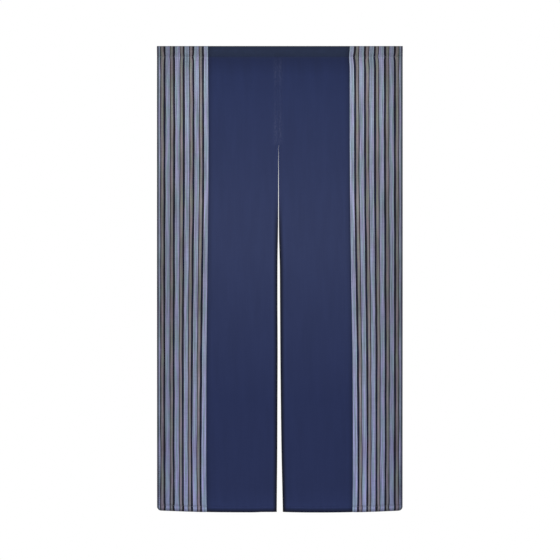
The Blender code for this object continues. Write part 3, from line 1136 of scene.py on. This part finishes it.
# Painted shade along the slit, where its hems roll back, with a faint painted highlight just inside it: how
# bright a panel is there, from its border's seam, and how far that shows at each height.
SLIT_SHADE_ACROSS = (
    (0.205, 1.0), (0.2125, 1.08), (0.2175, 0.88), (0.221, 0.56), (0.2245, 0.28), (0.227, 0.18),
    (0.23, 0.16),
)
SLIT_SHADE_DOWN = (
    (-1.53, 1.0), (-0.63, 1.0), (-0.57, 0.75), (-0.52, 0.25), (-0.48, 0.0), (0.03, 0.0),
)
# A painted highlight on the ridges and puckers beside the middle seam, where they stand forward into the
# light:
# across each panel, from its border's seam, by the side that the seam is on, and then down it.
SEAM_HIGHLIGHT_ACROSS = {
    "right": (
        (0.198, 0.0), (0.208, 0.08), (0.213, 0.3), (0.2185, 1.0), (0.222, 0.6), (0.226, 0.5),
        (0.229, 0.5),
    ),
    "left": ((0.206, 0.0), (0.213, 0.1), (0.2185, 0.4), (0.223, 1.0), (0.226, 0.7), (0.229, 0.5)),
}
SEAM_HIGHLIGHT_DOWN = (
    (-0.322, 0.0), (-0.312, 0.75), (-0.27, 1.0), (-0.245, 0.8), (-0.2, 0.35), (-0.13, 0.35),
    (-0.11, 0.6), (-0.075, 0.9), (-0.055, 0.6), (-0.04, 0.2), (-0.036, 0.0),
)


def navy_cotton(name, colours, slit_side):
    """Indigo-dyed plain-woven cotton.

    The eye sees an even, matt, deep blue, with faint paler and darker threads down the cloth.
    """
    material, tree, shader, slubs, parts = start_cotton(name)
    inward = parts["X"]
    if slit_side == "left":
        inward = add(
            tree, "ShaderNodeMath", {"operation": "SUBTRACT"}, {0: PANELS[1].flat, 1: inward}
        ).outputs[0]
    # Painted shade along the slit's rolled-back hems.
    slit = add(
        tree, "ShaderNodeMix", {"data_type": "FLOAT"},
        {0: tone_along(tree, parts["Y"], SLIT_SHADE_DOWN), 2: 1.0, 3: tone_along(tree, inward, SLIT_SHADE_ACROSS)},
    ).outputs[0]
    # A painted highlight in specks on the ridges and puckers beside the middle seam.
    seam_highlight = tones(
        tree,
        [
            tone_along(tree, inward, SEAM_HIGHLIGHT_ACROSS[slit_side]),
            tone_along(tree, parts["Y"], SEAM_HIGHLIGHT_DOWN),
            uneven_tone(tree, slubs["Rub"], 0.00, 0.14),
        ],
    )
    # The navy's colour down its length, with its painted sheen and painted shade.
    dye = colour_along(tree, parts["Y"], [(at, getattr(colours, shade)) for at, shade in NAVY_SHEEN_AND_SHADE])
    navy_with_highlight = add(
        tree, "ShaderNodeMix", {"data_type": "RGBA"}, {0: seam_highlight, 6: dye, 7: (*colours.seam_highlight, 1.0)}
    ).outputs[2]
    # Random streaks, and painted light and shade: down the panel, in the groove at its border's seam and
    # along its slit.
    tone = tones(
        tree,
        [
            uneven_tone(tree, slubs["Down"], 0.97, 1.03),
            uneven_tone(tree, slubs["Across"], 0.985, 1.015),
            uneven_tone(tree, slubs["Broad"], 0.96, 1.04),
            tone_along(tree, parts["Y"], NAVY_PAINTED_LIGHT),
            tone_along(tree, inward, NAVY_SEAM_SHADE),
            slit,
        ],
    )
    paint(tree, shader, navy_with_highlight, tone)
    return material


def striped_cotton(colours):
    """Yarn-dyed slub cotton with warp stripes.

    The eye sees crisp stripes whose threads vary in thickness and shade, so that each stripe is streaky.
    """
    material, tree, shader, slubs, parts = start_cotton("yarn dyed slub cotton")
    # The stripes' edges wander by a thread or so.
    wander = plus(tree, parts["X"], [(slubs["Broad"], WANDER_BROAD), (slubs["Edge"], WANDER_NARROW)])
    first = FIRST_DARK * MM + (WANDER_BROAD + WANDER_NARROW) / 2
    repeat = add(
        tree, "ShaderNodeMapRange", {"clamp": False},
        {"Value": wander, "From Min": first, "From Max": first + REPEAT * MM},
    ).outputs[0]
    within = add(tree, "ShaderNodeMath", {"operation": "FRACT"}, {0: repeat}).outputs[0]
    edge = 0.5 / REPEAT
    places = []
    for stripe, following in zip(STRIPES, STRIPES[1:] + (Stripe("", REPEAT),)):
        shade = getattr(colours, stripe.colour)
        places += [(stripe.start / REPEAT, shade), (following.start / REPEAT - edge, shade)]
    ramp = add(tree, "ShaderNodeValToRGB", None, {"Fac": within})
    set_marks(ramp, places)
    # Each length of yarn took the dye a little differently: some greener, some more violet.
    dyed = between(tree, slubs["Shade"], (0.91, 1.03, 0.92, 1.0), (1.09, 0.97, 1.08, 1.0))
    yarn = add(
        tree, "ShaderNodeVectorMath", {"operation": "MULTIPLY"}, {0: ramp.outputs[0], 1: dyed}
    ).outputs[0]
    bluer = add(
        tree, "ShaderNodeMix", {"data_type": "RGBA"},
        {
            0: tone_along(tree, parts["Y"], STRIPES_BLUER),
            6: (1.0, 1.0, 1.0, 1.0),
            7: (0.965, 0.98, 1.15, 1.0),
        },
    ).outputs[2]
    yarn = add(tree, "ShaderNodeVectorMath", {"operation": "MULTIPLY"}, {0: yarn, 1: bluer}).outputs[0]
    # Stray threads of brown and of navy run among the others, and show most in the dark stripes.
    stray = between(tree, slubs["Hue"], (0.009, 0.004, -0.004, 1.0), (-0.005, 0.002, 0.015, 1.0))
    yarn = add(tree, "ShaderNodeVectorMath", {"operation": "ADD"}, {0: yarn, 1: stray}).outputs[0]
    # The outer hem's stitches pull small dimples into the cloth; their shade is painted on as darker dashes,
    # which show where it hangs loosest.
    turns = 2 * math.pi / DIMPLE_STEP
    turn = add(tree, "ShaderNodeMath", {"operation": "MULTIPLY"}, {0: parts["Y"], 1: turns}).outputs[0]
    wave = add(tree, "ShaderNodeMath", {"operation": "SINE"}, {0: turn}).outputs[0]
    hollow = add(tree, "ShaderNodeMapRange", None, {"Value": wave, "From Min": -0.2, "From Max": 0.6})
    dimple_shade = tones(
        tree,
        [
            hollow.outputs[0],
            uneven_tone(tree, slubs["Rub"], 0.2, 1.0),
            tone_along(tree, parts["X"], DIMPLE_SHADE_ACROSS),
            tone_along(tree, parts["Y"], DIMPLE_SHADE_DOWN),
        ],
    )
    dimple_shade_tone = add(tree, "ShaderNodeMath", {"operation": "SUBTRACT"}, {0: 1.0, 1: dimple_shade}).outputs[0]
    # Random streaks, and painted light and shade: down the border, across it, at its outer hem and at its
    # dimples.
    tone = tones(
        tree,
        [
            dimple_shade_tone,
            uneven_tone(tree, slubs["Down"], 0.64, 1.36),
            uneven_tone(tree, slubs["Across"], 0.94, 1.06),
            uneven_tone(tree, slubs["Broad"], 0.95, 1.05),
            tone_along(tree, parts["Y"], STRIPES_PAINTED_LIGHT),
            tone_along(tree, parts["X"], STRIPES_ACROSS_WITH_EDGE_SHADE),
        ],
    )
    paint(tree, shader, yarn, tone)
    return material


def sewing_thread(name, shade):
    """Sewing thread: two twisted strands of polished cotton, a little glossier than the cloth."""
    material, tree, shader = start_material(name, {"Roughness": 0.6, "Specular IOR Level": 0.35})
    place = add(tree, "ShaderNodeTexCoord").outputs["Object"]
    strands = add(
        tree, "ShaderNodeTexNoise", None, {"Vector": place, "Scale": 1500.0, "Detail": 1.0}
    ).outputs["Fac"]
    tone = uneven_tone(tree, strands, 0.75, 1.25)
    paint(tree, shader, (*shade,), tone)
    raised = add(
        tree, "ShaderNodeBump", None, {"Strength": 0.4, "Distance": 0.0001, "Height": strands}
    ).outputs[0]
    tree.links.new(raised, shader.inputs["Normal"])
    return material


def make_cloths(context, cloths, materials, thread):
    """Sews several cloths with their stitches."""
    sizes = context.scene.noren_sizes
    tree = stitch_tree(context.scene.noren_colours, thread)
    for cloth, material in zip(cloths, materials):
        obj, cut_length = sew_cloth(sizes, cloth, material)
        stitches = sew_stitches(
            cloth.name.replace("cloth", "stitches"),
            running_lines(sizes, cloth),
            tree,
            stitch_sizes(sizes, Lean=0.0),
        )


class NOREN_OT_borders(bpy.types.Operator):
    """Sew the two striped borders, with their hems and stitches"""

    bl_idname = "noren.borders"
    bl_label = "Striped borders"

    def execute(self, context):
        cotton = striped_cotton(context.scene.noren_colours)
        make_cloths(context, BORDERS, [cotton, cotton], "pale_thread")
        return {"FINISHED"}


class NOREN_OT_panels(bpy.types.Operator):
    """Sew the two navy panels, with their hems and stitches"""

    bl_idname = "noren.panels"
    bl_label = "Navy panels"

    def execute(self, context):
        colours = context.scene.noren_colours
        left = navy_cotton("indigo cotton of the left panel", colours, "right")
        right = navy_cotton("indigo cotton of the right panel", colours, "left")
        make_cloths(context, PANELS, [left, right], "navy_thread")
        return {"FINISHED"}


class NOREN_OT_seams(bpy.types.Operator):
    """Join the four cloths with stitches over their turned edges"""

    bl_idname = "noren.seams"
    bl_label = "Seams"

    def execute(self, context):
        sizes = context.scene.noren_sizes
        tree = stitch_tree(context.scene.noren_colours, "navy_thread")
        top = sizes.pocket + sizes.pocket_tail + 0.001
        bottom = DROP - sizes.bottom_hem - 0.001
        lines = [
            seam_line(sizes, CLOTHS[0], CLOTHS[1], top, bottom),
            seam_line(sizes, CLOTHS[1], CLOTHS[2], top, SLIT_TOP),
            seam_line(sizes, CLOTHS[2], CLOTHS[3], top, bottom),
        ]
        sew_stitches(
            "seam_stitches",
            lines,
            tree,
            stitch_sizes(
                sizes,
                Length=0.9 * sizes.stitch,
                Thread=0.8 * sizes.thread,
                Lean=math.radians(65),
                Seed=sizes.stitch_seed + 1,
            ),
        )
        return {"FINISHED"}


# The photograph's view: a long lens, square on, so that the curtain keeps its true proportions.
VIEW_HEIGHT = 1.8045
VIEW_CENTRE = (0.0006, -0.7540)
LENS = 200.0
SENSOR = 36.0
FLOOR_SIDES = 96
FLOOR_RADIUS = 2.6
FLOOR_HEIGHT = -2.00


def soft_light(name, place, aim, size, watts):
    """A square soft box at a place, turned to what it lights."""
    data = bpy.data.lights.new(name, "AREA")
    data.shape = "RECTANGLE"
    data.size = size[0]
    data.size_y = size[1]
    data.energy = watts
    obj = place_object(name, data)
    obj.location = place
    obj.rotation_euler = (Vector(aim) - Vector(place)).to_track_quat("-Z", "Y").to_euler()


def make_floor(colours):
    """A pale round floor below the curtain, with a soft grain."""
    material, tree, shader = start_material("pale plaster floor", {"Roughness": 0.9})
    place = add(tree, "ShaderNodeTexCoord").outputs["Object"]
    grain = add(tree, "ShaderNodeTexNoise", None, {"Vector": place, "Scale": 3.0, "Detail": 4.0})
    paint(tree, shader, (*colours.floor,), uneven_tone(tree, grain.outputs["Fac"], 0.985, 1.015))
    mesh = bpy.data.meshes.new("floor")
    ring = [2 * math.pi * i / FLOOR_SIDES for i in range(FLOOR_SIDES)]
    points = [(FLOOR_RADIUS * math.cos(a), FLOOR_RADIUS * math.sin(a), FLOOR_HEIGHT) for a in ring]
    mesh.from_pydata(points, [], [tuple(range(FLOOR_SIDES))])
    mesh.materials.append(material)
    place_object("floor", mesh)


class NOREN_OT_studio(bpy.types.Operator):
    """Set up the pale floor, the soft lights and the camera"""

    bl_idname = "noren.studio"
    bl_label = "Studio"

    def execute(self, context):
        scene = context.scene
        make_floor(scene.noren_colours)
        soft_light("key", (-0.7, -2.9, 2.0), (0.0, 0.0, -0.55), (1.8, 1.4), 100)
        soft_light("fill", (1.6, -3.2, -0.6), (0.0, 0.0, -0.85), (1.6, 2.2), 14)
        soft_light("back", (-1.2, 3.0, 1.2), (0.0, 0.0, -0.75), (2.0, 2.0), 45)
        world = bpy.data.worlds.new("white studio")
        world.use_nodes = True
        tree = world.node_tree
        tree.nodes.clear()
        # The camera sees the studio's white paper, which is brighter than the light that it gives back.
        seen = add(tree, "ShaderNodeBackground", None, {"Color": (1.0, 1.0, 1.0, 1.0), "Strength": 1.0})
        given = add(tree, "ShaderNodeBackground", None, {"Color": (0.98, 0.99, 1.0, 1.0), "Strength": 0.22})
        path = add(tree, "ShaderNodeLightPath")
        mixed = add(
            tree, "ShaderNodeMixShader", None,
            {0: path.outputs["Is Camera Ray"], 1: given.outputs[0], 2: seen.outputs[0]},
        )
        add(tree, "ShaderNodeOutputWorld", None, {"Surface": mixed.outputs[0]})
        scene.world = world
        scene.view_settings.view_transform = "Standard"
        data = bpy.data.cameras.new("camera")
        data.sensor_width = SENSOR
        data.lens = LENS
        data.clip_end = 100.0
        camera = place_object("camera", data)
        camera.location = (VIEW_CENTRE[0], -VIEW_HEIGHT * LENS / SENSOR, VIEW_CENTRE[1])
        camera.rotation_euler = (math.radians(90), 0.0, 0.0)
        scene.camera = camera
        return {"FINISHED"}


class NOREN_PT_panel(bpy.types.Panel):
    """The noren's steps, sizes and colours in the sidebar"""

    bl_idname = "NOREN_PT_panel"
    bl_label = "Noren"
    bl_space_type = "VIEW_3D"
    bl_region_type = "UI"
    bl_category = "Noren"

    def draw(self, context):
        column = self.layout.column()
        for operator in OPERATORS:
            column.operator(operator.bl_idname)
        for group in (context.scene.noren_sizes, context.scene.noren_colours):
            box = self.layout.box()
            for name in group.__annotations__:
                box.prop(group, name)


OPERATORS = (NOREN_OT_borders, NOREN_OT_panels, NOREN_OT_seams, NOREN_OT_studio)
CLASSES = (NorenSizes, NorenColours, *OPERATORS, NOREN_PT_panel)


def register():
    for each in CLASSES:
        bpy.utils.register_class(each)
    bpy.types.Scene.noren_sizes = PointerProperty(type=NorenSizes)
    bpy.types.Scene.noren_colours = PointerProperty(type=NorenColours)


def unregister():
    del bpy.types.Scene.noren_colours
    del bpy.types.Scene.noren_sizes
    for each in reversed(CLASSES):
        bpy.utils.unregister_class(each)


def main():
    register()
    bpy.ops.noren.borders()
    bpy.ops.noren.panels()
    bpy.ops.noren.seams()
    bpy.ops.noren.studio()


if __name__ == "__main__":
    main()
